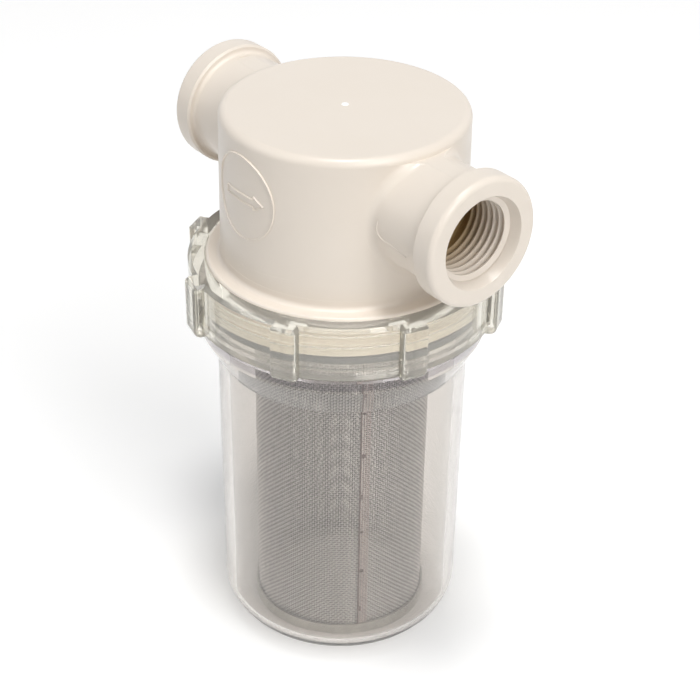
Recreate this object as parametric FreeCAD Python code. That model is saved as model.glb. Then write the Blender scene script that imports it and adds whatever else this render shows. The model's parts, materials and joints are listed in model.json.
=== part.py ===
"""Sea water strainer: a moulded head with two threaded ports, a clear bowl hung from it by a
clear eight-lug union nut, and a woven-wire screen that stands in the bowl.

Millimetres. +Z is up, the origin is the bottom centre of the bowl, and the ports lie along X
with the outlet at +X. Each piece of the real strainer is one solid in a file of its own.
"""

import FreeCAD, Part
import math
import os

Vector = FreeCAD.Vector
Z_AXIS = Vector(0, 0, 1)
X_AXIS = Vector(1, 0, 0)

# ---- Bowl ----
bowl_height = 97.0
bowl_top_r = 31.8
bowl_taper = 0.2
bowl_wall = 2.8
bowl_floor = 3.4
bowl_foot_round = 7.0
bowl_inner_round = 4.0
bowl_neck_step = 0.5
bowl_flange_reach = 1.4
bowl_flange_thickness = 1.6
shoulder_reach = 4.2
shoulder_gap = 1.3
shoulder_band = 3.3
shoulder_slope_height = 8.0
shoulder_edge_chamfer = 0.5

# ---- Gasket between the head's skirt and the bowl's flange ----
gasket_thickness = 1.6
gasket_inset = 0.3

# ---- Union nut ----
nut_height = 14.6
nut_wall = 4.1
nut_bowl_clearance = 0.65
nut_thread_clearance = 0.3
nut_edge_chamfer = 0.9
nut_lip_thickness = 1.8
nut_lip_clearance = 0.3
lug_count = 8
lug_start_angle = -14.0
lug_width = 6.6
lug_reach = 2.3
lug_side_round = 1.0
lug_foot_round = 1.9
lug_top_chamfer = 0.8

# ---- Head: outer form ----
flange_stand = 0.5
flange_width = 3.7
flange_thickness = 3.0
flange_edge_round = 0.8
flange_root_fillet = 1.2
skirt_step = 1.05
skirt_lead_chamfer = 0.5
head_height = 38.3
head_draft = 0.35
head_wall = 3.2
head_roof = 3.6
head_edge_round = 2.0
head_edge_land = 0.1
gate_mark_r = 0.8
gate_mark_height = 0.15

# ---- Head: ports ----
port_drop = 15.7
port_reach = 18.95
port_bore_r = 10.35
port_bore_depth = 17.0
port_mouth_flare = 1.0
port_mouth_depth = 2.5
neck_wall = 3.45
neck_root_fillet = 2.5
collar_step = 2.0
collar_width = 6.2
collar_face_round = 1.4
collar_back_chamfer = 0.5
collar_step_fillet = 0.9
passage_r = 8.0
passage_overrun = 6.0

# ---- Head: outlet spigot and the elbow above it ----
spigot_r = 13.0
spigot_bore_r = 9.0
spigot_rise = 4.4
spigot_lead_chamfer = 0.8
elbow_wall = 3.6

# ---- Screen ----
screen_gap = 6.4
screen_wall = 0.45
screen_hoop_proud = 0.25
screen_hoop_height = 1.6
screen_columns = 12
screen_rows = 10
screen_bar_width = 2.4
screen_seam_angle = -27.0
screen_seam_width = 5.2
bottom_ring_height = 3.2
bottom_ring_wall = 0.5
bottom_ring_flange = 3.0
cap_plate = 1.6
cap_rim_height = 6.0
cap_rim_wall = 0.6
cap_collar_wall = 2.0
cap_collar_height = 5.4
cap_bore_clearance = 0.15

# ---- Heights worked out from the sizes above, from the surface that the bowl stands on ----
bowl_flange_z = bowl_height - bowl_flange_thickness
nut_bottom_z = bowl_flange_z - nut_lip_thickness
nut_top_z = nut_bottom_z + nut_height
shoulder_top_z = nut_bottom_z - shoulder_gap
shoulder_band_z = shoulder_top_z - shoulder_band
shoulder_foot_z = shoulder_band_z - shoulder_slope_height
skirt_bottom_z = bowl_height + gasket_thickness
flange_top_z = nut_top_z + flange_stand
flange_bottom_z = flange_top_z - flange_thickness
head_top_z = flange_top_z + head_height
chamber_top_z = head_top_z - head_roof
port_axis_z = head_top_z - port_drop
spigot_bottom_z = skirt_bottom_z + spigot_rise
cap_plate_z = spigot_bottom_z + cap_collar_height - cap_plate

# ---- Radii and reaches worked out from the sizes above ----
bowl_base_r = bowl_top_r - bowl_taper
bowl_inner_top_r = bowl_top_r - bowl_wall
bowl_inner_base_r = bowl_base_r - bowl_wall
bowl_neck_r = bowl_top_r + bowl_neck_step
bowl_flange_r = bowl_neck_r + bowl_flange_reach
shoulder_r = bowl_top_r + shoulder_reach
gasket_inner_r = bowl_inner_top_r + gasket_inset
gasket_outer_r = bowl_flange_r - gasket_inset
nut_lip_r = bowl_neck_r + nut_lip_clearance
nut_bore_r = bowl_flange_r + nut_bowl_clearance
nut_r = nut_bore_r + nut_wall
flange_r = nut_bore_r - nut_thread_clearance
skirt_root_r = flange_r - skirt_step
head_base_r = flange_r - flange_width
head_top_r = head_base_r - head_draft
chamber_r = head_top_r - head_wall
port_face_x = head_base_r + port_reach
port_bore_end_x = port_face_x - port_bore_depth
port_mouth_r = port_bore_r + port_mouth_flare
neck_r = port_bore_r + neck_wall
neck_end_x = port_face_x - collar_width
collar_r = neck_r + collar_step
screen_r = bowl_inner_base_r - screen_gap
screen_inner_r = screen_r - screen_wall
screen_outer_r = screen_r + screen_hoop_proud
cap_bore_r = spigot_r + cap_bore_clearance


def corner_arc(before, corner, after, radius):
    """The two tangent points and the middle point of an arc that rounds one corner."""
    into = (corner - before).normalize()
    out = (after - corner).normalize()
    turn = math.acos(max(-1.0, min(1.0, into.dot(out))))
    setback = radius * math.tan(turn / 2)
    start = corner - into * setback
    end = corner + out * setback
    inward = (out - into).normalize()
    centre = corner + inward * (radius / math.cos(turn / 2))
    return start, centre - inward * radius, end


def profile_face(outline, place):
    """A closed face from (a, b) or (a, b, round) corners; place turns a, b into a point."""
    corners = [place(point[0], point[1]) for point in outline]
    rounds = [point[2] if len(point) > 2 else 0.0 for point in outline]
    count = len(corners)
    stretches = []
    for i in range(count):
        before, corner, after = corners[i - 1], corners[i], corners[(i + 1) % count]
        if rounds[i] > 0:
            stretches.append(corner_arc(before, corner, after, rounds[i]))
        else:
            stretches.append((corner,))
    edges = []
    for i, stretch in enumerate(stretches):
        if len(stretch) == 3:
            edges.append(Part.Arc(*stretch).toShape())
        following = stretches[(i + 1) % count]
        edges.append(Part.LineSegment(stretch[-1], following[0]).toShape())
    return Part.Face(Part.Wire(edges))


def turned(outline):
    """A solid of revolution about Z from (radius, z) corners, its seam on +Y clear of the ports."""
    face = profile_face(outline, lambda r, z: Vector(0, r, z))
    return face.revolve(Vector(0, 0, 0), Z_AXIS, 360)


def turned_on_port(outline):
    """A solid of revolution about the +X port's axis from (x, radius) corners."""
    face = profile_face(outline, lambda x, r: Vector(x, 0, port_axis_z + r))
    return face.revolve(Vector(0, 0, port_axis_z), X_AXIS, 360)


def opposite(shape):
    """The same shape on the inlet side."""
    return shape.mirror(Vector(0, 0, 0), X_AXIS)


def head_outside():
    """Drafted barrel with both necks blended into it, and a cap with the rounded top edge."""
    draft = (head_base_r - head_top_r) / (head_top_z - flange_top_z)
    cap_foot_z = head_top_z - head_edge_round - head_edge_land
    cap_foot_r = head_top_r + draft * (head_top_z - cap_foot_z)
    blank_height = head_top_z + neck_r - flange_top_z
    tall_barrel = turned(
        [
            (0, flange_top_z),
            (head_base_r, flange_top_z),
            (head_base_r - draft * blank_height, flange_top_z + blank_height),
            (0, flange_top_z + blank_height),
        ]
    )
    necks = Part.makeCylinder(
        neck_r, 2 * neck_end_x, Vector(-neck_end_x, 0, port_axis_z), X_AXIS
    )
    blank = tall_barrel.fuse(necks).removeSplitter()
    roots = [e for e in blank.Edges if not isinstance(e.Curve, (Part.Circle, Part.Line))]
    blank = blank.makeFillet(neck_root_fillet, roots)
    below_cap = Part.makeCylinder(
        port_face_x, cap_foot_z - flange_top_z, Vector(0, 0, flange_top_z)
    )
    cap = turned(
        [
            (0, cap_foot_z),
            (cap_foot_r, cap_foot_z),
            (head_top_r, head_top_z, head_edge_round),
            (0, head_top_z),
        ]
    )
    gate_mark = Part.makeCylinder(gate_mark_r, gate_mark_height, Vector(0, 0, head_top_z))
    return blank.common(below_cap).fuse([cap, gate_mark])


def port_collar():
    """The thicker ring at the end of the outlet neck."""
    root_x = neck_end_x - collar_step_fillet
    inner_r = passage_r
    return turned_on_port(
        [
            (root_x - collar_step_fillet, inner_r),
            (root_x - collar_step_fillet, neck_r),
            (neck_end_x, neck_r, collar_step_fillet),
            (neck_end_x, collar_r - collar_back_chamfer),
            (neck_end_x + collar_back_chamfer, collar_r),
            (port_face_x, collar_r, collar_face_round),
            (port_face_x, inner_r),
        ]
    )


def head_base():
    """The flange above the union nut and the skirt that carries the nut's thread."""
    return turned(
        [
            (chamber_r, skirt_bottom_z),
            (skirt_root_r - skirt_lead_chamfer, skirt_bottom_z),
            (skirt_root_r, skirt_bottom_z + skirt_lead_chamfer),
            (skirt_root_r, flange_bottom_z),
            (flange_r, flange_bottom_z),
            (flange_r, flange_top_z, flange_edge_round),
            (head_base_r, flange_top_z, flange_root_fillet),
            (head_base_r, flange_top_z + 2 * flange_root_fillet),
            (chamber_r, flange_top_z + 2 * flange_root_fillet),
        ]
    )


def outlet_elbow():
    """The solid that the chamber is moulded round: spigot, elbow and the web above it."""
    spigot = turned(
        [
            (0, spigot_bottom_z),
            (spigot_r - spigot_lead_chamfer, spigot_bottom_z),
            (spigot_r, spigot_bottom_z + spigot_lead_chamfer),
            (spigot_r, chamber_top_z),
            (0, chamber_top_z),
        ]
    )
    elbow_r = passage_r + elbow_wall
    arm = Part.makeCylinder(elbow_r, head_base_r, Vector(0, 0, port_axis_z), X_AXIS)
    web = Part.makeBox(
        head_base_r, 2 * elbow_r, chamber_top_z - port_axis_z, Vector(0, -elbow_r, port_axis_z)
    )
    return spigot.fuse([arm, web])


def port_bore():
    """The outlet's mouth, threaded bore and passage, as the core that forms them."""
    return turned_on_port(
        [
            (port_face_x, 0),
            (port_face_x, port_mouth_r),
            (port_face_x - port_mouth_depth, port_bore_r),
            (port_bore_end_x, port_bore_r),
            (port_bore_end_x, passage_r),
            (-passage_overrun, passage_r),
            (-passage_overrun, 0),
        ]
    )


def make_head():
    """One moulding: barrel, necks, collars, flange, skirt, chamber and outlet elbow."""
    collar = port_collar()
    head = head_outside().fuse([collar, opposite(collar), head_base()])
    chamber = turned(
        [
            (0, skirt_bottom_z),
            (chamber_r, skirt_bottom_z),
            (chamber_r, chamber_top_z),
            (0, chamber_top_z),
        ]
    )
    head = head.cut(chamber.cut(outlet_elbow()))
    bore = port_bore()
    inlet_depth = port_face_x - spigot_r
    keep_out = Part.makeBox(
        inlet_depth,
        2 * port_mouth_r,
        2 * port_mouth_r,
        Vector(-port_face_x, -port_mouth_r, port_axis_z - port_mouth_r),
    )
    inlet_bore = opposite(bore).common(keep_out.cut(outlet_elbow()))
    drop = turned(
        [
            (0, spigot_bottom_z),
            (spigot_bore_r, spigot_bottom_z),
            (spigot_bore_r, port_axis_z),
            (0, port_axis_z),
        ]
    )
    return head.cut([bore, inlet_bore, drop]).removeSplitter()


def nut_lug():
    """One grip lug, on the +X side: a rib up the nut with a rounded foot."""
    inner_x = nut_r - nut_edge_chamfer
    outer_x = nut_r + lug_reach
    outline = [
        (inner_x, nut_bottom_z),
        (outer_x, nut_bottom_z, lug_foot_round),
        (outer_x, nut_top_z),
        (inner_x, nut_top_z),
    ]
    face = profile_face(outline, lambda x, z: Vector(x, -lug_width / 2, z))
    lug = face.extrude(Vector(0, lug_width, 0))
    uprights = [
        e
        for e in lug.Edges
        if isinstance(e.Curve, Part.Line)
        and min(v.X for v in e.Vertexes) > outer_x - 1e-6
        and abs(e.tangentAt(e.FirstParameter).z) > 0.99
    ]
    lug = lug.makeFillet(lug_side_round, uprights)
    crown = [
        e
        for e in lug.Edges
        if min(v.Z for v in e.Vertexes) > nut_top_z - 1e-6
        and max(v.X for v in e.Vertexes) > nut_r
    ]
    return lug.makeChamfer(lug_top_chamfer, crown)


def make_union_nut():
    """Clear ring nut: plain bore for the skirt's thread, inward lip and eight lugs."""
    nut = turned(
        [
            (nut_lip_r, nut_bottom_z),
            (nut_r - nut_edge_chamfer, nut_bottom_z),
            (nut_r, nut_bottom_z + nut_edge_chamfer),
            (nut_r, nut_top_z - nut_edge_chamfer),
            (nut_r - nut_edge_chamfer, nut_top_z),
            (nut_bore_r, nut_top_z),
            (nut_bore_r, bowl_flange_z),
            (nut_lip_r, bowl_flange_z),
        ]
    )
    lug = nut_lug()
    lugs = []
    for i in range(lug_count):
        angle = lug_start_angle + i * 360.0 / lug_count
        lugs.append(lug.rotated(Vector(0, 0, 0), Z_AXIS, angle))
    return nut.fuse(lugs).removeSplitter()


def make_bowl():
    """Clear bowl: rounded foot, straight body, thick shoulder, neck and top flange."""
    return turned(
        [
            (0, 0),
            (bowl_base_r, 0, bowl_foot_round),
            (bowl_top_r, shoulder_foot_z),
            (shoulder_r, shoulder_band_z),
            (shoulder_r, shoulder_top_z - shoulder_edge_chamfer),
            (shoulder_r - shoulder_edge_chamfer, shoulder_top_z),
            (bowl_neck_r, shoulder_top_z),
            (bowl_neck_r, bowl_flange_z),
            (bowl_flange_r, bowl_flange_z),
            (bowl_flange_r, bowl_height),
            (bowl_inner_top_r, bowl_height),
            (bowl_inner_base_r, bowl_floor, bowl_inner_round),
            (0, bowl_floor),
        ]
    )


def make_bowl_gasket():
    """Flat ring squeezed between the head's skirt and the bowl's flange."""
    return turned(
        [
            (gasket_inner_r, bowl_height),
            (gasket_outer_r, bowl_height),
            (gasket_outer_r, skirt_bottom_z),
            (gasket_inner_r, skirt_bottom_z),
        ]
    )


def make_screen_mesh():
    """The rolled wire cloth: an open lattice of hoops and bars with its lap seam."""
    foot_z = bowl_floor + bottom_ring_wall
    top_z = cap_plate_z
    height = top_z - foot_z
    wall = turned(
        [(screen_inner_r, foot_z), (screen_r, foot_z), (screen_r, top_z), (screen_inner_r, top_z)]
    )
    pitch = (height - screen_hoop_height) / screen_rows
    gap_height = pitch - screen_hoop_height
    gap_width = 2 * math.pi * screen_r / screen_columns - screen_bar_width
    cutters = []
    for row in range(screen_rows):
        z = foot_z + screen_hoop_height + row * pitch
        for column in range(screen_columns // 2):
            angle = screen_seam_angle + (column + 0.5) * 360.0 / screen_columns
            cutter = Part.makeBox(
                4 * screen_r, gap_width, gap_height, Vector(-2 * screen_r, -gap_width / 2, z)
            )
            cutters.append(cutter.rotated(Vector(0, 0, 0), Z_AXIS, angle))
    lattice = wall.cut(cutters)
    ridges = []
    for row in range(1, screen_rows):
        z = foot_z + row * pitch
        ridges.append(
            turned(
                [
                    (screen_inner_r, z),
                    (screen_outer_r, z),
                    (screen_outer_r, z + screen_hoop_height),
                    (screen_inner_r, z + screen_hoop_height),
                ]
            )
        )
    half_seam = math.degrees(screen_seam_width / 2 / screen_r)
    seam_face = Part.Face(
        Part.makePolygon(
            [
                Vector(screen_inner_r, 0, foot_z),
                Vector(screen_outer_r, 0, foot_z),
                Vector(screen_outer_r, 0, top_z),
                Vector(screen_inner_r, 0, top_z),
                Vector(screen_inner_r, 0, foot_z),
            ]
        )
    )
    seam = seam_face.revolve(Vector(0, 0, 0), Z_AXIS, 2 * half_seam)
    seam.rotate(Vector(0, 0, 0), Z_AXIS, screen_seam_angle - half_seam)
    return lattice.fuse(ridges + [seam]).removeSplitter()


def make_screen_bottom_ring():
    """Pressed ring that binds the screen's lower edge and stands on the bowl's floor."""
    inner_r = screen_inner_r - bottom_ring_flange
    outer_r = screen_outer_r + bottom_ring_wall
    return turned(
        [
            (inner_r, bowl_floor),
            (outer_r, bowl_floor),
            (outer_r, bowl_floor + bottom_ring_height),
            (screen_outer_r, bowl_floor + bottom_ring_height),
            (screen_outer_r, bowl_floor + bottom_ring_wall),
            (inner_r, bowl_floor + bottom_ring_wall),
        ]
    )


def make_screen_top_cap():
    """Moulded cap on the screen: its collar slides up the head's outlet spigot."""
    outer_r = screen_outer_r + cap_rim_wall
    plate_top_z = cap_plate_z + cap_plate
    return turned(
        [
            (cap_bore_r, spigot_bottom_z),
            (cap_bore_r + cap_collar_wall, spigot_bottom_z),
            (cap_bore_r + cap_collar_wall, cap_plate_z),
            (screen_outer_r, cap_plate_z),
            (screen_outer_r, plate_top_z - cap_rim_height),
            (outer_r, plate_top_z - cap_rim_height),
            (outer_r, plate_top_z),
            (cap_bore_r, plate_top_z),
        ]
    )


def write_piece(name, shape):
    """Check that a piece is one sound solid and write it."""
    if len(shape.Solids) != 1:
        raise RuntimeError("%s has %d solids" % (name, len(shape.Solids)))
    solid = shape.Solids[0]
    if not solid.isValid():
        raise RuntimeError("%s is not a valid solid" % name)
    solid.exportStep("parts/%s.step" % name)
    print("%-20s %10.1f mm3" % (name, solid.Volume))


def main():
    os.makedirs("parts", exist_ok=True)
    write_piece("head", make_head())
    write_piece("union_nut", make_union_nut())
    write_piece("bowl", make_bowl())
    write_piece("bowl_gasket", make_bowl_gasket())
    write_piece("screen_mesh", make_screen_mesh())
    write_piece("screen_bottom_ring", make_screen_bottom_ring())
    write_piece("screen_top_cap", make_screen_top_cap())


main()
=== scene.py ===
"""Looks for a small inline sea water strainer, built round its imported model.

An ivory head with two threaded ports, a clear bowl hung from it by a clear lugged union nut, and a
woven-wire screen inside. Metres, +Z up, the ports along X with the outlet at +X.
"""

import json
import logging
import math
from dataclasses import dataclass
from enum import Enum

import bmesh
import bpy
from bmesh.types import BMEdge, BMesh, BMVert
from bpy.types import Material, Node, NodeSocket, NodeTree, Object
from mathutils import Matrix, Vector


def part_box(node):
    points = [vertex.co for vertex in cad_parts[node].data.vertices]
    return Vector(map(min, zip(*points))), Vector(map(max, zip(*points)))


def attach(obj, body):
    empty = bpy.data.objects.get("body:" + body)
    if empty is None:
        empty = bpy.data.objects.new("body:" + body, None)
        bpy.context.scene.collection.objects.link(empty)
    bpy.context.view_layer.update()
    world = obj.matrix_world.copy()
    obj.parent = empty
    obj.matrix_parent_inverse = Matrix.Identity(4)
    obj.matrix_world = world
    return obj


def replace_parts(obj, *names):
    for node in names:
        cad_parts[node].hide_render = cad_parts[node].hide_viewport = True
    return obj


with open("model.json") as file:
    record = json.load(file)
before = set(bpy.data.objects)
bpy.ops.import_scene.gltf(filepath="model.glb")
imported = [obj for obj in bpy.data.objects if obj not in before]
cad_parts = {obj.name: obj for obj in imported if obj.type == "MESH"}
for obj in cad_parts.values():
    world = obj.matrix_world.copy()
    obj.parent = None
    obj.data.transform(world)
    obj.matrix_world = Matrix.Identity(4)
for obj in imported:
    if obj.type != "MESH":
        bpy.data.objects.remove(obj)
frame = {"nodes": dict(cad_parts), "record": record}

MM = 0.001
WHITE = (1.0, 1.0, 1.0)
Colour = tuple[float, float, float]

log = logging.getLogger("strainer")


# ---------------------------------------------------------------------------
# Small helpers
# ---------------------------------------------------------------------------


def rgba(colour: Colour) -> tuple[float, float, float, float]:
    """Return a colour with full alpha."""
    return (*colour, 1.0)


def solid_from(mesh: BMesh, name: str, smooth_angle: float = 35.0) -> Object:
    """Turn a finished bmesh into a linked object, smooth but for its sharp edges.

    Args:
        mesh: the bmesh, freed here.
        name: the piece's name.
        smooth_angle: edges that turn more than this stay sharp, in degrees.

    Returns:
        The new object, at the origin, with its place in its mesh.
    """
    limit = math.radians(smooth_angle)
    for face in mesh.faces:
        face.smooth = True
    for edge in mesh.edges:
        edge.smooth = len(edge.link_faces) == 2 and edge.calc_face_angle(0.0) < limit
    data = bpy.data.meshes.new(name)
    mesh.to_mesh(data)
    mesh.free()
    piece = bpy.data.objects.new(name, data)
    bpy.context.scene.collection.objects.link(piece)
    return piece


def chain(mesh: BMesh, points: list[Vector], closed: bool) -> list[BMEdge]:
    """Add a string of edges through a few points, as a profile to spin or extrude.

    Args:
        mesh: the bmesh that gets them.
        points: the profile's corners in order.
        closed: whether the last corner joins the first.

    Returns:
        The new edges.
    """
    corners = [mesh.verts.new(point) for point in points]
    edges = [mesh.edges.new(pair) for pair in zip(corners, corners[1:])]
    if closed:
        edges.append(mesh.edges.new((corners[-1], corners[0])))
    return edges


def revolve(mesh: BMesh, geom: list, angle: float, steps: int, **options: object) -> dict:
    """Spin geometry about Z.

    Args:
        mesh: the bmesh that holds it.
        geom: what is spun.
        angle: how far, in radians.
        steps: in how many steps.
        options: the spin's other settings.

    Returns:
        The spin's result.
    """
    return bmesh.ops.spin(
        mesh, geom=geom, cent=(0, 0, 0), axis=(0, 0, 1), angle=angle, steps=steps, **options
    )


def turn_about_z(mesh: BMesh, corners: list[BMVert], angle: float) -> None:
    """Turn corners about Z by an angle in radians."""
    bmesh.ops.rotate(mesh, verts=corners, cent=(0, 0, 0), matrix=Matrix.Rotation(angle, 3, "Z"))


def of_kind(items: list, kind: type) -> list:
    """Return the items of one kind, such as the corners in an operator's result."""
    return [item for item in items if isinstance(item, kind)]


def seen_straight(tree: NodeTree) -> NodeSocket:
    """Return 1 for rays straight from the eye, by gloss or through clear walls, and 0 for others."""
    path = tree.nodes.new("ShaderNodeLightPath")
    total = path.outputs["Is Camera Ray"]
    for kind in ("Is Glossy Ray", "Is Transmission Ray"):
        either = tree.nodes.new("ShaderNodeMath")
        either.operation = "MAXIMUM"
        tree.links.new(total, either.inputs[0])
        tree.links.new(path.outputs[kind], either.inputs[1])
        total = either.outputs[0]
    return total


@dataclass(frozen=True)
class Helix:
    """A thread ridge wound on or in a cylinder.

    Args:
        root_r: radius of the wall that the ridge stands on.
        crest_r: radius of its crest, above or below root_r.
        pitch: advance in one turn.
        foot: the ridge's width at the wall.
        crest: its width at the crest.
        turns: how many turns it makes.
        steps_per_turn: facets in one turn.
    """

    root_r: float
    crest_r: float
    pitch: float
    foot: float
    crest: float
    turns: float
    steps_per_turn: int = 72

    def mesh(self, start: float, phase: float) -> BMesh:
        """Wind the ridge right-handed about +Z.

        Args:
            start: height of the ridge's middle where it begins.
            phase: angle where it begins, in degrees.

        Returns:
            The closed ridge.
        """
        mesh = bmesh.new()
        half_foot, half_crest = self.foot / 2, self.crest / 2
        profile = [
            Vector((self.root_r, 0, start - half_foot)),
            Vector((self.crest_r, 0, start - half_crest)),
            Vector((self.crest_r, 0, start + half_crest)),
            Vector((self.root_r, 0, start + half_foot)),
        ]
        edges = chain(mesh, profile, closed=True)
        first = bmesh.ops.contextual_create(mesh, geom=edges)["faces"]
        steps = round(self.turns * self.steps_per_turn)
        wound = revolve(
            mesh,
            edges + mesh.verts[:],
            math.tau * self.turns,
            steps,
            dvec=(0, 0, self.pitch / self.steps_per_turn),
        )
        last = of_kind(wound["geom_last"], BMEdge)
        bmesh.ops.contextual_create(mesh, geom=last)
        self.run_out(first[0].verts[:])
        turn_about_z(mesh, mesh.verts[:], math.radians(phase))
        bmesh.ops.recalc_face_normals(mesh, faces=mesh.faces)
        return mesh

    def run_out(self, start: list[BMVert]) -> None:
        """Sink the crest to the wall where the ridge begins, as a cut thread does."""
        for corner in start:
            flat = Vector((corner.co.x, corner.co.y, 0.0))
            flat.length = self.root_r
            corner.co.x, corner.co.y = flat.x, flat.y


# ---------------------------------------------------------------------------
# Finishes
# ---------------------------------------------------------------------------


class Tree:
    """The node tree of one material, with short calls that add and join nodes."""

    def __init__(self, name: str) -> None:
        """Start an empty material of that name."""
        self.material = bpy.data.materials.new(name)
        self.material.use_nodes = True
        self.nodes = self.material.node_tree.nodes
        self.links = self.material.node_tree.links
        self.nodes.clear()
        self.output = self.add("ShaderNodeOutputMaterial")
        self.coords = self.add("ShaderNodeTexCoord")

    def add(self, kind: str, **values: object) -> Node:
        """Add a node.

        Args:
            kind: the node's type.
            values: its settings, or its inputs by name with spaces as underscores.

        Returns:
            The node.
        """
        node = self.nodes.new(kind)
        for key, value in values.items():
            if hasattr(node, key):
                setattr(node, key, value)
            else:
                node.inputs[key.replace("_", " ")].default_value = value
        return node

    def join(self, source: NodeSocket, target: NodeSocket) -> None:
        """Link two sockets."""
        self.links.new(source, target)

    def noise(self, scale: float, detail: float = 3.0, stretch: Colour = (1, 1, 1)) -> NodeSocket:
        """Return the factor of a noise texture on Object coordinates.

        Args:
            scale: features per metre.
            detail: octaves.
            stretch: scale along each axis, for streaks.

        Returns:
            The noise's factor socket.
        """
        mapping = self.add("ShaderNodeMapping")
        mapping.inputs["Scale"].default_value = stretch
        self.join(self.coords.outputs["Object"], mapping.inputs["Vector"])
        noise = self.add("ShaderNodeTexNoise", Scale=scale, Detail=detail)
        self.join(mapping.outputs["Vector"], noise.inputs["Vector"])
        return noise.outputs["Fac"]

    def ramp(self, value: NodeSocket, start: float, end: float, low: float, high: float) -> NodeSocket:
        """Map a value between start and end onto low to high, clamped."""
        span = self.add("ShaderNodeMapRange")
        for label, number in zip(("From Min", "From Max", "To Min", "To Max"), (start, end, low, high)):
            span.inputs[label].default_value = number
        self.join(value, span.inputs["Value"])
        return span.outputs["Result"]

    def spread(self, factor: NodeSocket, low: float, high: float) -> NodeSocket:
        """Map a noise factor, which mostly lies from 0.3 to 0.7, onto low to high."""
        return self.ramp(factor, 0.3, 0.7, low, high)

    def distance(self, centre: Colour, scale: Colour) -> NodeSocket:
        """Return the distance from a centre, with each axis scaled; 0 leaves an axis out."""
        mapping = self.add("ShaderNodeMapping")
        mapping.inputs["Location"].default_value = [-c * k for c, k in zip(centre, scale)]
        mapping.inputs["Scale"].default_value = scale
        self.join(self.coords.outputs["Object"], mapping.inputs["Vector"])
        length = self.add("ShaderNodeVectorMath", operation="LENGTH")
        self.join(mapping.outputs["Vector"], length.inputs[0])
        return length.outputs["Value"]

    def combine(self, operation: str, first: NodeSocket, second: NodeSocket) -> NodeSocket:
        """Return two values put together by a Math node's operation."""
        node = self.add("ShaderNodeMath", operation=operation)
        self.join(first, node.inputs[0])
        self.join(second, node.inputs[1])
        return node.outputs[0]

    def blend(self, factor: NodeSocket, first: Colour | NodeSocket, second: Colour) -> NodeSocket:
        """Return a colour between a plain or a varying one and a plain one, by a factor."""
        mix = self.add("ShaderNodeMix", data_type="RGBA")
        lower, upper = [socket for socket in mix.inputs if socket.type == "RGBA"]
        if isinstance(first, NodeSocket):
            self.join(first, lower)
        else:
            lower.default_value = rgba(first)
        upper.default_value = rgba(second)
        self.join(factor, mix.inputs["Factor"])
        return [socket for socket in mix.outputs if socket.type == "RGBA"][0]

    def bump(self, height: NodeSocket, depth: float) -> NodeSocket:
        """Return a normal bumped by a height, with the depth in metres."""
        bump = self.add("ShaderNodeBump", Strength=1.0, Distance=depth)
        self.join(height, bump.inputs["Height"])
        return bump.outputs["Normal"]

    def finish(self, surface: NodeSocket) -> Material:
        """Join the surface to the output and return the material."""
        self.join(surface, self.output.inputs["Surface"])
        return self.material


@dataclass(frozen=True)
class PaintedBoreShade:
    """Painted shade: where a moulding's colour is darkened deep inside two bores along X, standing in
    for the shade that falls there.

    Args:
        height: height of the bores' axis.
        radius: the bores' radius.
        shallow: distance from the middle at which the painted shade starts.
        deep: distance from the middle at which it is full.
        colour: the painted shade's colour, linear.
    """

    height: float
    radius: float
    shallow: float
    deep: float
    colour: Colour


@dataclass(frozen=True)
class OpaqueMoulding:
    """Gloss moulded plastic with faint mottling and a hint of moulding ripple.

    Args:
        name: the material's name.
        colour: its colour, linear.
        deep: the colour that its mottling leans to.
        roughness: surface roughness at its smoothest.
        ripple: depth of the ripple, metres.
        painted_bore_shade: where painted shade darkens the colour deep in the bores, if anywhere.
        gate_scar_highlight: height and radius of a white disc on the gate mark on the axis, a painted
            highlight for the light it catches, if there is one.
    """

    name: str
    colour: Colour
    deep: Colour
    roughness: float = 0.3
    ripple: float = 0.00002
    painted_bore_shade: PaintedBoreShade | None = None
    gate_scar_highlight: tuple[float, float] | None = None

    def material(self) -> Material:
        """Build the node material."""
        tree = Tree(self.name)
        shader = tree.add("ShaderNodeBsdfPrincipled", IOR=1.5)
        mottle = tree.spread(tree.noise(38.0, 4.0), 0.0, 1.0)
        colour = tree.blend(mottle, self.colour, self.deep)
        # Painted shade deep inside the port bores.
        if self.painted_bore_shade is not None:
            colour = self.with_painted_bore_shade(tree, colour)
        # Painted highlight: a white disc on the gate mark in the middle of the top.
        if self.gate_scar_highlight is not None:
            height, radius = self.gate_scar_highlight
            near = tree.distance((0, 0, height), (1, 1, 1))
            pale = tree.ramp(near, radius, radius * 1.05, 1.0, 0.0)
            colour = tree.blend(pale, colour, WHITE)
        tree.join(colour, shader.inputs["Base Color"])
        gloss = tree.spread(tree.noise(220.0, 5.0), self.roughness, self.roughness + 0.08)
        tree.join(gloss, shader.inputs["Roughness"])
        tree.join(tree.bump(tree.noise(90.0, 2.0), self.ripple), shader.inputs["Normal"])
        return tree.finish(shader.outputs["BSDF"])

    def with_painted_bore_shade(self, tree: Tree, colour: NodeSocket) -> NodeSocket:
        """Blend in the painted shade, darkest deep inside the bores."""
        spot = self.painted_bore_shade
        off_axis = tree.distance((0, 0, spot.height), (0, 1, 1))
        inside = tree.ramp(off_axis, spot.radius, spot.radius * 1.06, 1.0, 0.0)
        along = tree.ramp(tree.distance((0, 0, 0), (1, 0, 0)), spot.deep, spot.shallow, 1.0, 0.0)
        return tree.blend(tree.combine("MULTIPLY", inside, along), colour, spot.colour)


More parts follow.
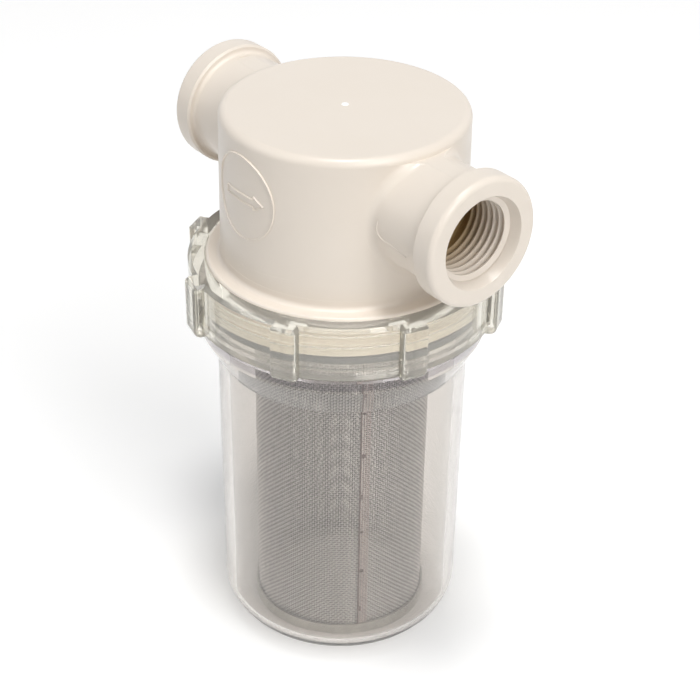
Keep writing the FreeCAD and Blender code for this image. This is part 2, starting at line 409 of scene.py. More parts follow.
@dataclass(frozen=True)
class ClearMoulding:
    """Clear moulded plastic, a little cloudy: refraction to the eye, tinted passage for soft light.

    Args:
        name: the material's name.
        tint: the plastic's colour.
        edge: its colour where it is seen edge on: painted shade, standing in for the dark surroundings
            seen through the edges.
        shade: colour of the light that reaches what is behind it, at each face.
        haze: how much of it scatters light, from 0 to 1.
        roughness: surface roughness.
        ior: index of refraction.
        ripple: depth of the flow ripple, metres.
        density: how strongly it absorbs light on its way through, per metre.
        stain: the colour that long ways through it lean to.
        band: foot and head of a dark band of painted shade, standing in for the shade seen through the
            shoulder under the nut, and its colour.
    """

    name: str
    tint: Colour
    edge: Colour
    shade: Colour
    haze: float = 0.1
    roughness: float = 0.03
    ior: float = 1.54
    ripple: float = 0.00001
    density: float = 30.0
    stain: Colour = (0.6, 0.56, 0.5)
    band: tuple[float, float, Colour] | None = None

    def material(self) -> Material:
        """Build the node material."""
        tree = Tree(self.name)
        glass = tree.add("ShaderNodeBsdfPrincipled", IOR=self.ior, Roughness=self.roughness)
        glass.inputs["Transmission Weight"].default_value = 1.0 - self.haze
        # Painted shade: darker where the surface is seen edge on.
        weight = tree.add("ShaderNodeLayerWeight", Blend=0.32)
        cloud = tree.spread(tree.noise(55.0, 3.0), 0.85, 1.0)
        painted_edge_shade = tree.combine("MULTIPLY", weight.outputs["Facing"], cloud)
        colour = tree.blend(painted_edge_shade, self.tint, self.edge)
        # Painted shade: a dark band round the bowl's shoulder, under the nut.
        if self.band is not None:
            low, high, band_shade_colour = self.band
            off = tree.distance((0, 0, (low + high) / 2), (0, 0, 1))
            inside = tree.ramp(off, (high - low) * 0.35, (high - low) * 0.5, 1.0, 0.0)
            colour = tree.blend(inside, colour, band_shade_colour)
        tree.join(colour, glass.inputs["Base Color"])
        ripple = tree.noise(60.0, 2.0, (1.0, 1.0, 0.35))
        tree.join(tree.bump(ripple, self.ripple), glass.inputs["Normal"])
        passed = tree.add("ShaderNodeBsdfTransparent")
        passed.inputs["Color"].default_value = rgba(self.shade)
        path = tree.add("ShaderNodeLightPath")
        soft = tree.combine("MAXIMUM", path.outputs["Is Shadow Ray"], path.outputs["Is Diffuse Ray"])
        mix = tree.add("ShaderNodeMixShader")
        tree.join(soft, mix.inputs[0])
        tree.join(glass.outputs["BSDF"], mix.inputs[1])
        tree.join(passed.outputs["BSDF"], mix.inputs[2])
        depth = tree.add("ShaderNodeVolumeAbsorption", Density=self.density)
        depth.inputs["Color"].default_value = rgba(self.stain)
        tree.join(depth.outputs["Volume"], tree.output.inputs["Volume"])
        return tree.finish(mix.outputs["Shader"])


@dataclass(frozen=True)
class Steel:
    """Stainless steel, dulled unevenly, with a warm bloom in places.

    Args:
        name: the material's name.
        colour: bright metal.
        dull: the colour where it is dulled.
        roughness: roughness of the bright metal.
        grain: features of the dulling per metre.
    """

    name: str
    colour: Colour
    dull: Colour
    roughness: float = 0.35
    grain: float = 400.0

    def material(self) -> Material:
        """Build the node material."""
        tree = Tree(self.name)
        shader = tree.add("ShaderNodeBsdfPrincipled", Metallic=1.0)
        tarnish = tree.spread(tree.noise(self.grain, 4.0), 0.0, 1.0)
        tree.join(tree.blend(tarnish, self.colour, self.dull), shader.inputs["Base Color"])
        rough = tree.spread(tree.noise(self.grain * 2, 3.0), self.roughness, self.roughness + 0.2)
        tree.join(rough, shader.inputs["Roughness"])
        return tree.finish(shader.outputs["BSDF"])


@dataclass(frozen=True)
class WovenSteel:
    """Wire cloth bent round Z: the metal's colour on the crowns of its weave, with painted shade where
    it dips.

    Args:
        name: the material's name.
        crown: the wire's colour at the outside of the weave.
        painted_dip_shade: the painted shade at the inside of the weave.
        inner_r: radius at which the painted shade is full.
        outer_r: radius at which the crown's colour is full.
        roughness: surface roughness.
    """

    name: str
    crown: Colour
    painted_dip_shade: Colour
    inner_r: float
    outer_r: float
    roughness: float = 0.4

    def material(self) -> Material:
        """Build the node material."""
        tree = Tree(self.name)
        shader = tree.add("ShaderNodeBsdfPrincipled", Metallic=1.0)
        # Painted shade: the wire darkens towards the inside of the weave.
        height = tree.ramp(tree.distance((0, 0, 0), (1, 1, 0)), self.inner_r, self.outer_r, 0.0, 1.0)
        tarnish = tree.spread(tree.noise(500.0, 4.0), 0.78, 1.0)
        bright = tree.combine("MULTIPLY", height, tarnish)
        tree.join(tree.blend(bright, self.painted_dip_shade, self.crown), shader.inputs["Base Color"])
        rough = tree.spread(tree.noise(900.0, 3.0), self.roughness, self.roughness + 0.15)
        tree.join(rough, shader.inputs["Roughness"])
        return tree.finish(shader.outputs["BSDF"])


@dataclass(frozen=True)
class Rubber:
    """Matt elastomer with a fine grain.

    Args:
        name: the material's name.
        colour: its colour.
        bloom: the paler colour where it has bloomed.
    """

    name: str
    colour: Colour
    bloom: Colour

    def material(self) -> Material:
        """Build the node material."""
        tree = Tree(self.name)
        shader = tree.add("ShaderNodeBsdfPrincipled", Roughness=0.55)
        patch = tree.spread(tree.noise(160.0, 4.0), 0.0, 1.0)
        tree.join(tree.blend(patch, self.colour, self.bloom), shader.inputs["Base Color"])
        grain = tree.noise(3000.0, 2.0)
        tree.join(tree.bump(grain, 0.00002), shader.inputs["Normal"])
        return tree.finish(shader.outputs["BSDF"])


class Finish(Enum):
    """The finishes of this strainer."""

    IVORY = OpaqueMoulding(
        "ivory_moulding",
        colour=(0.80, 0.727, 0.645),
        deep=(0.785, 0.71, 0.625),
        roughness=0.28,
        # Painted shade deep in the port bores.
        painted_bore_shade=PaintedBoreShade(131.3 * MM, 10.6 * MM, 43.0 * MM, 34.0 * MM, (0.36, 0.24, 0.10)),
        # White painted highlight on the gate mark.
        gate_scar_highlight=(147.15 * MM, 0.88 * MM),
    )
    CAP = OpaqueMoulding(
        "grey_cap_moulding",
        colour=(0.15, 0.145, 0.155),
        deep=(0.12, 0.115, 0.125),
        roughness=0.45,
    )
    NUT = ClearMoulding(
        "clear_nut",
        tint=(0.985, 0.965, 0.92),
        # Painted shade at the edges.
        edge=(0.84, 0.825, 0.735),
        shade=(0.97, 0.955, 0.925),
        haze=0.13,
        roughness=0.03,
        density=17.0,
        stain=(0.60, 0.57, 0.40),
    )
    BOWL = ClearMoulding(
        "clear_bowl",
        tint=(0.905, 0.872, 0.838),
        # Painted shade at the edges.
        edge=(0.66, 0.64, 0.62),
        shade=(0.86, 0.85, 0.84),
        haze=0.05,
        roughness=0.004,
        ripple=0.000004,
        density=15.0,
        # Painted shade on the shoulder under the nut.
        band=(89.5 * MM, 93.2 * MM, (0.46, 0.435, 0.47)),
    )
    WIRE = WovenSteel(
        "screen_wire",
        crown=(0.93, 0.905, 0.885),
        # Painted shade where the weave dips.
        painted_dip_shade=(0.04, 0.038, 0.036),
        inner_r=21.98 * MM,
        outer_r=22.40 * MM,
        roughness=0.38,
    )
    LAP = WovenSteel(
        "screen_lap",
        crown=(0.84, 0.735, 0.70),
        # Painted shade where the weave dips.
        painted_dip_shade=(0.13, 0.105, 0.10),
        inner_r=22.35 * MM,
        outer_r=22.75 * MM,
        roughness=0.42,
    )
    RING = Steel(
        "screen_ring", colour=(0.56, 0.55, 0.51), dull=(0.44, 0.43, 0.40), roughness=0.40, grain=150.0
    )
    # Weld tint on the weld marks; the same colour laid along the lap's cut edge is painted shade.
    WELD = Steel(
        "weld_tint_and_edge_shade", colour=(0.27, 0.215, 0.205), dull=(0.15, 0.115, 0.11), roughness=0.5, grain=900.0
    )
    RUBBER = Rubber("gasket_rubber", colour=(0.045, 0.045, 0.05), bloom=(0.075, 0.075, 0.08))

    def on(self, piece: Object) -> None:
        """Give a piece this finish and no other."""
        name = self.value.name + "_finish"
        found = bpy.data.materials.get(name)
        if found is None:
            found = self.value.material()
            found.name = name
        slots = piece.data.materials
        if len(slots) == 0:
            slots.append(found)
        for i in range(len(slots)):
            slots[i] = found


# ---------------------------------------------------------------------------
# Sub-assemblies
# ---------------------------------------------------------------------------

THREAD_ANGLE = 25.0  # edges of a thread that turn more than this stay sharp, in degrees
LINE_ANGLE = 30.0  # the same for raised lines
WIRE_ANGLE = 180.0  # the same for wires, which are smooth all round


def seat(piece: Object, body: str, finish: Finish) -> Object:
    """Dress a new piece, let it ride on its body and report it.

    Args:
        piece: the piece, in place.
        body: the body that carries it.
        finish: its finish.

    Returns:
        The piece.
    """
    finish.on(piece)
    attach(piece, body)
    log.info("%s: %d faces, rides on %s", piece.name, len(piece.data.polygons), body)
    return piece


@dataclass(frozen=True)
class UnionThread:
    """What the two halves of the union thread share.

    Args:
        pitch: advance in one turn.
        turns: how many turns each ridge makes.
        lead: height of its start above the gasket.
        foot: the ridge's width at the wall, in pitches.
    """

    pitch: float = 3.0 * MM
    turns: float = 1.6
    lead: float = 1.4 * MM
    foot: float = 0.8

    def ridge(self, name: str, root_r: float, crest_r: float, crest: float, phase: float) -> Object:
        """Wind one half's ridge.

        Args:
            name: the piece's name.
            root_r: radius of the wall that it stands on.
            crest_r: radius of its crest.
            crest: its width at the crest, in pitches.
            phase: angle where it begins, in degrees.

        Returns:
            The ridge, not yet dressed.
        """
        foot, width = self.pitch * self.foot, self.pitch * crest
        wound = Helix(root_r, crest_r, self.pitch, foot, width, self.turns, steps_per_turn=144)
        mesh = wound.mesh(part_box("bowl_gasket")[1].z + self.lead, phase)
        return solid_from(mesh, name, THREAD_ANGLE)


@dataclass
class Head:
    """The ivory head: its moulding, pipe threads, union thread, roundel and witness lines.

    Args:
        pipe_pitch: pitch of the tapered pipe thread.
        pipe_depth: how far the crests stand in from the bore.
        union_depth: height of the thread on the skirt.
        skirt_r: radius of the skirt at the thread's root.
        barrel_r: radius of the barrel at the roundel.
        roundel_r: radius of the raised ring on the barrel's side.
        roundel_z: height of its centre.
        roundel_angle: its place round the barrel, in degrees from +X.
        neck_r: radius of the ports' necks.
        port_z: height of the ports' axis.
        line_width: width of the raised lines.
        line_height: how far they stand out.
        line_sink: how deep their feet are sunk.
        faintness: share of that height that a witness line has.
    """

    pipe_pitch: float = 1.814 * MM
    pipe_depth: float = 1.15 * MM
    union_depth: float = 0.95 * MM
    skirt_r: float = 33.0 * MM
    barrel_r: float = 30.1 * MM
    roundel_r: float = 10.5 * MM
    roundel_z: float = 132.0 * MM
    roundel_angle: float = -91.0
    neck_r: float = 13.8 * MM
    port_z: float = 131.3 * MM
    line_width: float = 0.6 * MM
    line_height: float = 0.34 * MM
    line_sink: float = 0.05 * MM
    faintness: float = 0.6

    def build(self) -> None:
        """Dress the moulding and add what is finer than it."""
        Finish.IVORY.on(frame["nodes"]["head"])
        self.pipe_threads()
        self.union_thread()
        self.roundel_ring()
        self.flow_arrow()
        self.witness_lines()

    def pipe_threads(self) -> None:
        """Wind the right-hand pipe thread in both ports."""
        for mount in frame["record"]["mounts"]:
            if mount["kind"] != "threaded_hole":
                continue
            dims = mount["dims"]
            bore_r, length = dims["r_mm"] * MM, dims["length_mm"] * MM
            ridge = Helix(
                root_r=bore_r + 0.1 * MM,
                crest_r=bore_r - self.pipe_depth,
                pitch=self.pipe_pitch,
                foot=self.pipe_pitch * 0.92,
                crest=self.pipe_pitch * 0.16,
                turns=length / self.pipe_pitch - 0.6,
                steps_per_turn=96,
            )
            mesh = ridge.mesh(start=-length / 2 + self.pipe_pitch * 0.5, phase=0.0)
            place = Matrix.Translation(Vector(mount["pos_m"]))
            face = Vector(mount["axis"]).to_track_quat("Z", "Y").to_matrix().to_4x4()
            bmesh.ops.transform(mesh, matrix=place @ face, verts=mesh.verts)
            piece = solid_from(mesh, mount["name"] + "_thread", THREAD_ANGLE)
            seat(piece, "head", Finish.IVORY)

    def union_thread(self) -> None:
        """Wind the union thread on the skirt, under the flange."""
        root_r, crest_r = self.skirt_r - 0.1 * MM, self.skirt_r + self.union_depth
        piece = UnionThread().ridge("union_thread", root_r, crest_r, crest=0.25, phase=30.0)
        seat(piece, "head", Finish.IVORY)

    def on_barrel(self, mesh: BMesh) -> None:
        """Wrap a flat design round the barrel: x runs round it, y up it and z out of it."""
        for corner in mesh.verts:
            angle = math.radians(self.roundel_angle) + corner.co.x / self.barrel_r
            radius = self.barrel_r + corner.co.z
            height = self.roundel_z + corner.co.y
            corner.co = Vector((radius * math.cos(angle), radius * math.sin(angle), height))

    def raised(self, mesh: BMesh, name: str) -> None:
        """Wrap a raised line on the barrel and seat it."""
        self.on_barrel(mesh)
        bmesh.ops.recalc_face_normals(mesh, faces=mesh.faces)
        seat(solid_from(mesh, name, LINE_ANGLE), "head", Finish.IVORY)

    def roundel_ring(self) -> None:
        """Make the plain raised ring."""
        mesh = bmesh.new()
        half = self.line_width / 2
        profile = [
            Vector((self.roundel_r - half, 0, -self.line_height)),
            Vector((self.roundel_r - half * 0.5, 0, self.line_height)),
            Vector((self.roundel_r + half * 0.5, 0, self.line_height)),
            Vector((self.roundel_r + half, 0, -self.line_height)),
        ]
        edges = chain(mesh, profile, closed=True)
        revolve(mesh, edges + mesh.verts[:], math.tau, 120, use_merge=True)
        self.raised(mesh, "roundel_ring")

    def flow_arrow(self) -> None:
        """Make the raised outline of an arrow that points to the outlet."""
        tail, root, tip, stem, barb = -5.9 * MM, 4.5 * MM, 7.6 * MM, 0.95 * MM, 1.75 * MM
        outline = [
            (tail, -stem),
            (root, -stem),
            (root, -barb),
            (tip, 0.0),
            (root, barb),
            (root, stem),
            (tail, stem),
            (tail, -stem),
        ]
        mesh = bmesh.new()
        for start, end in zip(outline, outline[1:]):
            self.ridge(mesh, [start, end], 0.4 * MM)
        self.raised(mesh, "flow_arrow")

    def ridge(self, mesh: BMesh, path: list[tuple[float, float]], width: float) -> None:
        """Lay a raised line of triangular section along a path on the flat design.

        Args:
            mesh: the bmesh that gets it.
            path: the line's corners, as x and y.
            width: its width at the foot.
        """
        fine = [Vector((*path[0], 0.0))]
        for start, end in zip(path, path[1:]):
            cuts = max(1, math.ceil(math.dist(start, end) / (0.8 * MM)))
            for i in range(1, cuts + 1):
                fine.append(Vector((*start, 0.0)).lerp(Vector((*end, 0.0)), i / cuts))
        made = bmesh.ops.create_grid(mesh, x_segments=len(fine) - 1, y_segments=2, size=1.0)
        rows = sorted(made["verts"], key=lambda vert: (round(vert.co.x, 6), vert.co.y))
        for i, point in enumerate(fine):
            along = fine[min(i + 1, len(fine) - 1)] - fine[max(i - 1, 0)]
            across = Vector((-along.y, along.x, 0.0)).normalized() * (width / 2)
            for j, rise in enumerate((-self.line_sink, self.line_height, -self.line_sink)):
                rows[3 * i + j].co = point + across * (j - 1) + Vector((0, 0, rise))

    def witness_lines(self) -> None:
        """Make the faint lines that the mould's inserts left on the barrel and the outlet neck."""
        insert = [(-0.9, -18.0), (0.9, -18.0), (1.7, -18.3), (2.2, -18.9), (2.45, -19.7), (2.4, -20.9)]
        seam = [(2.9, -17.8), (9.0, -17.3), (14.7, -16.8)]
        mesh = bmesh.new()
        self.ridge(mesh, [(x * MM, y * MM) for x, y in insert], 0.35 * MM)
        self.ridge(mesh, [(x * MM, y * MM) for x, y in seam], 0.2 * MM)
        for corner in mesh.verts:
            corner.co.z *= self.faintness
        self.raised(mesh, "barrel_witness_line")
        neck = [(29.1, 1.6), (28.8, 0.0), (28.9, -1.0), (29.6, -2.0)]
        neck += [(31.0, -2.6), (33.6, -2.7), (38.5, -3.6)]
        mesh = bmesh.new()
        self.ridge(mesh, [(x * MM, y * MM) for x, y in neck], 0.35 * MM)
        for corner in mesh.verts:
            turn = corner.co.y / self.neck_r
            radius = self.neck_r + corner.co.z * self.faintness
            side, height = -radius * math.cos(turn), self.port_z + radius * math.sin(turn)
            corner.co = Vector((corner.co.x, side, height))
        bmesh.ops.recalc_face_normals(mesh, faces=mesh.faces)
        piece = solid_from(mesh, "neck_witness_line", LINE_ANGLE)
        seat(piece, "head", Finish.IVORY)


@dataclass
class UnionNut:
    """The clear lugged nut and the thread inside it.

    Args:
        bore_r: radius of the nut's bore.
        depth: how far the ridges stand in.
    """

    bore_r: float = 34.35 * MM
    depth: float = 0.9 * MM

    def build(self) -> None:
        """Dress the nut and wind its inner thread between the head's ridges."""
        Finish.NUT.on(frame["nodes"]["union_nut"])
        root_r, crest_r = self.bore_r - 0.02 * MM, self.bore_r - self.depth
        piece = UnionThread().ridge("nut_thread", root_r, crest_r, crest=0.3, phase=210.0)
        seat(piece, "nut", Finish.NUT)


@dataclass
class Bowl:
    """The clear bowl, turned smooth, and the gasket on its flange.

    Args:
        base_r: outer radius at the foot.
        top_r: outer radius under the shoulder.
        wall: wall thickness.
        floor: floor thickness.
        foot_round: radius of the foot's outer edge.
        inner_round: radius of the floor's inner edge.
        shoulder_r: radius of the thick shoulder.
        shoulder: heights of its slope's foot, its band's foot and its top.
        chamfer: the cut corner at its top.
        neck_r: radius of the neck above it.
        flange_r: radius of the top flange.
        flange_thickness: the flange's thickness.
        support: height of the short straight stretch that keeps a rounding's shading off the wall.
        steps: facets round it.
    """

    base_r: float = 31.6 * MM
    top_r: float = 31.8 * MM
    wall: float = 2.8 * MM
    floor: float = 3.4 * MM
    foot_round: float = 10.0 * MM
    inner_round: float = 5.5 * MM
    shoulder_r: float = 36.0 * MM
    shoulder: tuple[float, float, float] = (81.0 * MM, 89.0 * MM, 92.3 * MM)
    chamfer: float = 0.5 * MM
    neck_r: float = 32.3 * MM
    flange_r: float = 33.7 * MM
    flange_thickness: float = 1.6 * MM
    support: float = 0.3 * MM
    steps: int = 256

    def build(self) -> None:
        """Turn the bowl in place of the plainer solid and dress the gasket."""
        foot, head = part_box("bowl")
        piece = self.turned(foot.z, head.z)
        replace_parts(seat(piece, "bowl_set", Finish.BOWL), "bowl")
        Finish.RUBBER.on(frame["nodes"]["bowl_gasket"])

    def turned(self, low: float, high: float) -> Object:
        """Spin the bowl's section once about Z.

        Args:
            low: height of its foot.
            high: height of its rim.

        Returns:
            The bowl, not yet dressed.
        """
        slope, band, top = self.shoulder
        inner_base, inner_top = self.base_r - self.wall, self.top_r - self.wall
        floor_z, flange_z = low + self.floor, high - self.flange_thickness
        section = [(0.0, low), *self.arc(self.base_r, low, self.foot_round)]
        section += [(self.base_r, low + self.foot_round + self.support), (self.top_r, slope)]
        section += [(self.shoulder_r, band), (self.shoulder_r, top - self.chamfer)]
        section += [(self.shoulder_r - self.chamfer, top), (self.neck_r, top), (self.neck_r, flange_z)]
        section += [(self.flange_r, flange_z), (self.flange_r, high), (inner_top, high)]
        section += [(inner_base, floor_z + self.inner_round + self.support)]
        section += [*reversed(self.arc(inner_base, floor_z, self.inner_round)), (0.0, floor_z)]
        mesh = bmesh.new()
        edges = chain(mesh, [Vector((r, 0, z)) for r, z in section], closed=False)
        revolve(mesh, edges + mesh.verts[:], math.tau, self.steps, use_merge=True)
        bmesh.ops.remove_doubles(mesh, verts=mesh.verts, dist=0.001 * MM)
        bmesh.ops.recalc_face_normals(mesh, faces=mesh.faces)
        return solid_from(mesh, "bowl_turned", 12.0)

    def arc(self, radius: float, height: float, rounding: float) -> list[tuple[float, float]]:
        """Return the corners of a foot's rounding, from its underside outwards and up."""
        corners = []
        cuts = 12
        for i in range(cuts + 1):
            turn = math.pi / 2 * i / cuts
            across = radius - rounding + rounding * math.sin(turn)
            corners.append((across, height + rounding - rounding * math.cos(turn)))
        return corners


@dataclass(frozen=True)
class Cloth:
    """Plain-woven wire cloth bent round Z.

    Args:
        middle_r: radius of its mid surface.
        low: height of its foot.
        high: height of its head.
        around: how many uprights close the circle.
        up: how many hoops there are.
        wire_r: radius of a wire.
        crimp: how far a wire swings in and out of the mid surface.
        sides: facets round a wire.
    """

    middle_r: float
    low: float
    high: float
    around: int
    up: int
    wire_r: float
    crimp: float
    sides: int = 3

    def section(self, mesh: BMesh) -> tuple[list, list]:
        """Add one wire's section at the origin and return its corners and edges."""
        made = bmesh.ops.create_circle(mesh, radius=self.wire_r, segments=self.sides, cap_ends=False)
        ring = made["verts"]
        turn_about_z(mesh, ring, -math.pi / 2)
        return ring, list({edge for vert in ring for edge in vert.link_edges})

    def uprights(self, count: int) -> BMesh:
        """Make upright wires, each weaving in and out of the hoops.

        Args:
            count: how many, an even number, from angle 0 on.

        Returns:
            The wires.
        """
        mesh = bmesh.new()
        rise = (self.high - self.low) / self.up
        for wire, side in ((0, 1), (1, -1)):
            ring, edges = self.section(mesh)
            foot = (self.middle_r + side * self.crimp, 0, self.low)
            bmesh.ops.translate(mesh, verts=ring, vec=foot)
            grown_verts = list(ring)
            for _ in range(self.up):
                grown = bmesh.ops.extrude_edge_only(mesh, edges=edges)["geom"]
                ring = of_kind(grown, BMVert)
                lines = of_kind(grown, BMEdge)
                edges = [edge for edge in lines if all(vert in ring for vert in edge.verts)]
                side = -side
                bmesh.ops.translate(mesh, verts=ring, vec=(2 * side * self.crimp, 0, rise))
                grown_verts += ring
            turn_about_z(mesh, grown_verts, math.tau * wire / self.around)
        pair = mesh.verts[:] + mesh.edges[:] + mesh.faces[:]
        sweep = math.tau * (count - 2) / self.around
        revolve(mesh, pair, sweep, count // 2 - 1, use_duplicate=True)
        bmesh.ops.recalc_face_normals(mesh, faces=mesh.faces)
        return mesh

    def hoops(self, count: int) -> BMesh:
        """Make the hoops, or arcs of them, each weaving in and out of the uprights.

        Args:
            count: how many uprights they cross, from angle 0 on.

        Returns:
            The hoops.
        """
        mesh = bmesh.new()
        rise = (self.high - self.low) / self.up
        upright = Matrix.Rotation(math.pi / 2, 4, "X")
        for hoop in range(2):
            before = len(mesh.verts)
            ring, edges = self.section(mesh)
            bmesh.ops.transform(mesh, matrix=upright, verts=ring)
            foot = (self.middle_r, 0, self.low + rise * (hoop + 0.5))
            bmesh.ops.translate(mesh, verts=ring, vec=foot)
            sweep = math.tau * count / self.around
            revolve(mesh, edges + ring, sweep, count, use_merge=count == self.around)
            mesh.verts.ensure_lookup_table()
            for vert in mesh.verts[before:]:
                place = round(math.atan2(vert.co.y, vert.co.x) / math.tau * self.around)
                swing = self.crimp if (place + hoop) % 2 else -self.crimp
                vert.co += Vector((vert.co.x, vert.co.y, 0)).normalized() * swing
        pair = mesh.verts[:] + mesh.edges[:] + mesh.faces[:]
        for step in range(1, self.up // 2):
            copied = bmesh.ops.duplicate(mesh, geom=pair)["geom"]
            moved = of_kind(copied, BMVert)
            bmesh.ops.translate(mesh, verts=moved, vec=(0, 0, 2 * rise * step))
        bmesh.ops.recalc_face_normals(mesh, faces=mesh.faces)
        return mesh


@dataclass
class WireScreen:
    """The rolled screen: woven wire cloth, its lapped seam, and the ring and cap that bind it.

    Args:
        middle_r: radius of the cloth's mid surface.
        pitch: distance between wires.
        wire_r: radius of a wire.
        crimp: how far a wire swings in and out of the mid surface.
        seam_angle: middle of the lapped seam, in degrees from +X.
        lap_wires: how many uprights the lap holds.
        weld_spacing: distance between weld marks.
    """

    middle_r: float = 22.15 * MM
    pitch: float = 0.66 * MM
    wire_r: float = 0.17 * MM
    crimp: float = 0.12 * MM
    seam_angle: float = -23.5
    lap_wires: int = 4
    weld_spacing: float = 12.4 * MM

    def build(self) -> None:
        """Weave the cloth, lap its seam and dress the ring and cap."""
        low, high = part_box("screen_mesh")
        around = 2 * round(math.pi * self.middle_r / self.pitch)
        up = 2 * round((high.z - low.z) / self.pitch / 2)
        cloth = Cloth(self.middle_r, low.z, high.z, around, up, self.wire_r, self.crimp)
        warp = solid_from(cloth.uprights(around), "screen_warp_wires", WIRE_ANGLE)
        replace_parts(seat(warp, "bowl_set", Finish.WIRE), "screen_mesh")
        weft = solid_from(cloth.hoops(around), "screen_weft_wires", WIRE_ANGLE)
        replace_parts(seat(weft, "bowl_set", Finish.WIRE), "screen_mesh")
        self.lap(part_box("screen_bottom_ring")[1].z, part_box("screen_top_cap")[0].z, around)
        Finish.RING.on(frame["nodes"]["screen_bottom_ring"])
        Finish.CAP.on(frame["nodes"]["screen_top_cap"])

    def lap(self, low: float, high: float, around: int) -> None:
        """Lay the cloth's second layer over the seam, with painted shade along its cut edge and weld
        marks.

        Args:
            low: height of its foot.
            high: height of its head.
            around: how many uprights close the cloth's circle.
        """
        step = math.tau / around
        up = 2 * round((high - low) / self.pitch / 2)
        radius = self.middle_r + 2 * self.crimp + self.wire_r
        cloth = Cloth(radius, low, high, around, up, self.wire_r * 0.9, self.crimp * 0.6)
        start = math.radians(self.seam_angle) - step * (self.lap_wires - 1) / 2
        for mesh, name in (
            (cloth.uprights(self.lap_wires), "lap_warp_wires"),
            (cloth.hoops(self.lap_wires - 1), "lap_weft_wires"),
        ):
            turn_about_z(mesh, mesh.verts[:], start)
            seat(solid_from(mesh, name, WIRE_ANGLE), "bowl_set", Finish.LAP)
        crowns = radius + self.wire_r
        # Painted shade: a thin dark strip along the lap's cut edge, for the edge's shadow and its
        # darker cut metal.
        edge = bmesh.new()
        self.arc_strip(edge, crowns, low, high, 0.42 * MM, start - step * 0.7)
        seat(solid_from(edge, "lap_cut_edge_shade"), "bowl_set", Finish.WELD)
        marks = bmesh.new()
        for i in range(int((high - low) / self.weld_spacing)):
            height = low + (i + 0.35 + 0.06 * (i % 3)) * self.weld_spacing
            reach = (0.5 + 0.25 * (i * 2 % 3)) * MM
            tall = (1.5 - 0.45 * (i % 3)) * MM
            self.arc_strip(marks, crowns, height, height + tall, reach, start)
        seat(solid_from(marks, "seam_weld_marks"), "bowl_set", Finish.WELD)

    def arc_strip(
        self,
        mesh: BMesh,
        radius: float,
        low: float,
        high: float,
        width: float,
        start: float,
    ) -> None:
        """Add a thin strip bent to the cloth.

        Args:
            mesh: the bmesh that gets it.
            radius: radius of its mid surface.
            low: height of its foot.
            high: height of its head.
            width: its width round the cloth.
            start: the angle where it begins, in radians.
        """
        before = len(mesh.verts)
        half = 0.06 * MM
        inner, outer = radius - half, radius + half
        corners = ((inner, low), (outer, low), (outer, high), (inner, high))
        profile = [Vector((r, 0, z)) for r, z in corners]
        edges = chain(mesh, profile, closed=True)
        mesh.verts.ensure_lookup_table()
        foot = mesh.verts[before:]
        bmesh.ops.contextual_create(mesh, geom=edges)
        swept = revolve(mesh, edges + foot, width / radius, 6)
        bmesh.ops.contextual_create(mesh, geom=of_kind(swept["geom_last"], BMEdge))
        mesh.verts.ensure_lookup_table()
        turn_about_z(mesh, mesh.verts[before:], start)
        bmesh.ops.recalc_face_normals(mesh, faces=mesh.faces)


# ---------------------------------------------------------------------------
# Studio
# ---------------------------------------------------------------------------


@dataclass(frozen=True)
class Softbox:
    """One rectangular studio lamp aimed at the object.

    Args:
        name: the lamp's name.
        azimuth: where it stands, in degrees as the camera's azimuth.
        elevation: its height above the horizon, in degrees.
        width: the lamp's width and height.
        power: its power in watts.
        colour: its light.
        distance: how far it stands from the aim.
    """

    name: str
    azimuth: float
    elevation: float
    width: float
    power: float
    colour: Colour = WHITE
    distance: float = 2.0

    def place(self, aim: Vector) -> None:
        """Create the lamp, aimed at a point."""
        data = bpy.data.lights.new(self.name, "AREA")
        data.shape = "SQUARE"
        data.size = self.width
        data.energy = self.power
        data.color = self.colour
        lamp = bpy.data.objects.new(self.name, data)
        bpy.context.scene.collection.objects.link(lamp)
        back = direction(self.azimuth, self.elevation)
        lamp.location = aim + back * self.distance
        lamp.rotation_mode = "QUATERNION"
        lamp.rotation_quaternion = (-back).to_track_quat("-Z", "Y")


def direction(azimuth: float, elevation: float) -> Vector:
    """Return the way from the object to a viewer at that azimuth and elevation, in degrees."""
    a, e = math.radians(azimuth), math.radians(elevation)
    return Vector((math.sin(a) * math.cos(e), -math.cos(a) * math.cos(e), math.sin(e)))


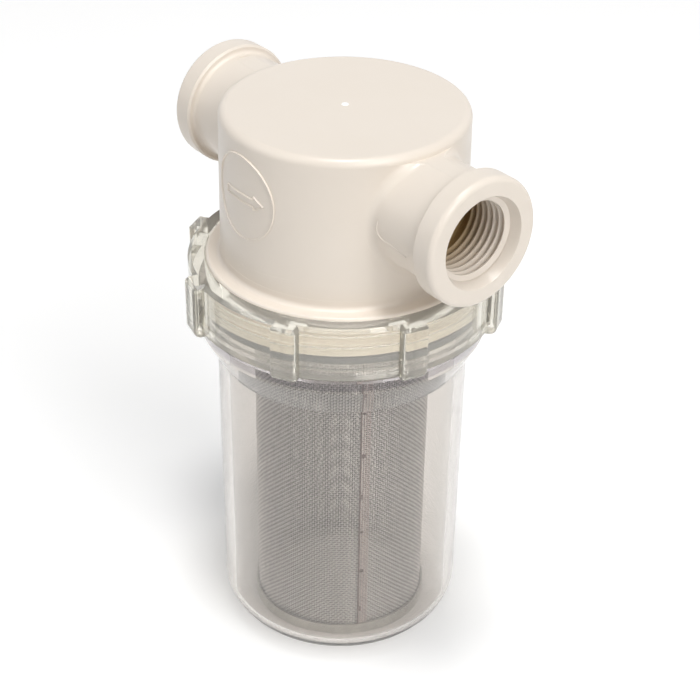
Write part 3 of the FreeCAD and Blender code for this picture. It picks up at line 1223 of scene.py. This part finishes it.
@dataclass
class Studio:
    """Floor, backdrop, soft lamps and camera.

    Args:
        camera_azimuth: the viewer's place round the object.
        camera_elevation: the viewer's height above the horizon.
        camera_distance: distance from the aim.
        camera_roll: how far the camera is turned about its own axis.
        aim_z: height of the aim above the floor.
        lens: focal length in millimetres on the sensor.
        sensor: sensor width in millimetres.
        shift: the lens's shift across and up.
        floor_half: half the floor's side.
        floor_tone: how much light the floor gives back.
        floor_glow: how far it is lifted towards white, which thins the shadow.
        fill: the world's light on the object.
    """

    camera_azimuth: float = 50.98
    camera_elevation: float = 32.52
    camera_distance: float = 433.06 * MM
    camera_roll: float = 0.70
    aim_z: float = 80.5 * MM
    lens: float = 87.0
    sensor: float = 36.0
    shift: tuple[float, float] = (0.011, -0.010)
    floor_half: float = 3.0
    floor_tone: float = 0.90
    floor_glow: float = 0.25
    fill: float = 0.18

    def build(self) -> None:
        """Set up everything round the object."""
        aim = Vector((0, 0, self.aim_z))
        self.camera(aim)
        self.floor()
        self.world()
        for lamp in (
            Softbox("key", 82.0, 35.0, width=1.2, power=20.0, colour=(1.0, 0.99, 0.975)),
            Softbox("side", -25.0, 32.0, width=1.5, power=6.0, colour=(0.98, 0.99, 1.0)),
            Softbox("top", 60.0, 85.0, width=0.4, power=17.5),
            Softbox("port", 92.0, 58.0, width=0.6, power=4.5),
        ):
            lamp.place(aim)
        bpy.context.scene.view_settings.view_transform = "Standard"

    def camera(self, aim: Vector) -> None:
        """Place the camera."""
        data = bpy.data.cameras.new("camera")
        data.lens = self.lens
        data.sensor_width = self.sensor
        data.shift_x, data.shift_y = self.shift
        data.clip_start, data.clip_end = 0.01, 20.0
        camera = bpy.data.objects.new("camera", data)
        bpy.context.scene.collection.objects.link(camera)
        back = direction(self.camera_azimuth, self.camera_elevation)
        camera.location = aim + back * self.camera_distance
        look = (-back).to_track_quat("-Z", "Y").to_matrix()
        camera.rotation_mode = "QUATERNION"
        roll = Matrix.Rotation(math.radians(self.camera_roll), 3, "Z")
        camera.rotation_quaternion = (look @ roll).to_quaternion()
        bpy.context.scene.camera = camera

    def floor(self) -> None:
        """Lay the pale floor, which reads as white but keeps the object's shadow."""
        mesh = bmesh.new()
        bmesh.ops.create_grid(mesh, x_segments=1, y_segments=1, size=self.floor_half)
        floor = solid_from(mesh, "floor")
        tree = Tree("floor")
        lit = tree.add("ShaderNodeBsdfDiffuse")
        lit.inputs["Color"].default_value = rgba((self.floor_tone,) * 3)
        glow = tree.add("ShaderNodeEmission")
        glow.inputs["Color"].default_value = rgba(WHITE)
        level = tree.add("ShaderNodeMath", operation="MULTIPLY")
        level.inputs[1].default_value = self.floor_glow
        tree.join(seen_straight(tree.material.node_tree), level.inputs[0])
        tree.join(level.outputs[0], glow.inputs["Strength"])
        both = tree.add("ShaderNodeAddShader")
        tree.join(lit.outputs[0], both.inputs[0])
        tree.join(glow.outputs[0], both.inputs[1])
        floor.data.materials.append(tree.finish(both.outputs[0]))

    def world(self) -> None:
        """Light the world softly and show it white."""
        world = bpy.data.worlds.new("studio")
        world.use_nodes = True
        tree = world.node_tree
        back = tree.nodes["Background"]
        back.inputs["Color"].default_value = rgba(WHITE)
        span = tree.nodes.new("ShaderNodeMapRange")
        span.inputs["To Min"].default_value = self.fill
        span.inputs["To Max"].default_value = 1.0
        tree.links.new(seen_straight(tree), span.inputs["Value"])
        tree.links.new(span.outputs["Result"], back.inputs["Strength"])
        bpy.context.scene.world = world


def main() -> None:
    """Build the strainer's looks and the studio round it."""
    logging.basicConfig(level=logging.INFO, format="%(name)s: %(message)s")
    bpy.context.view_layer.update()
    for part in (Head(), UnionNut(), Bowl(), WireScreen()):
        part.build()
        log.info("%s done", type(part).__name__)
    Studio().build()


if __name__ == "__main__":
    main()
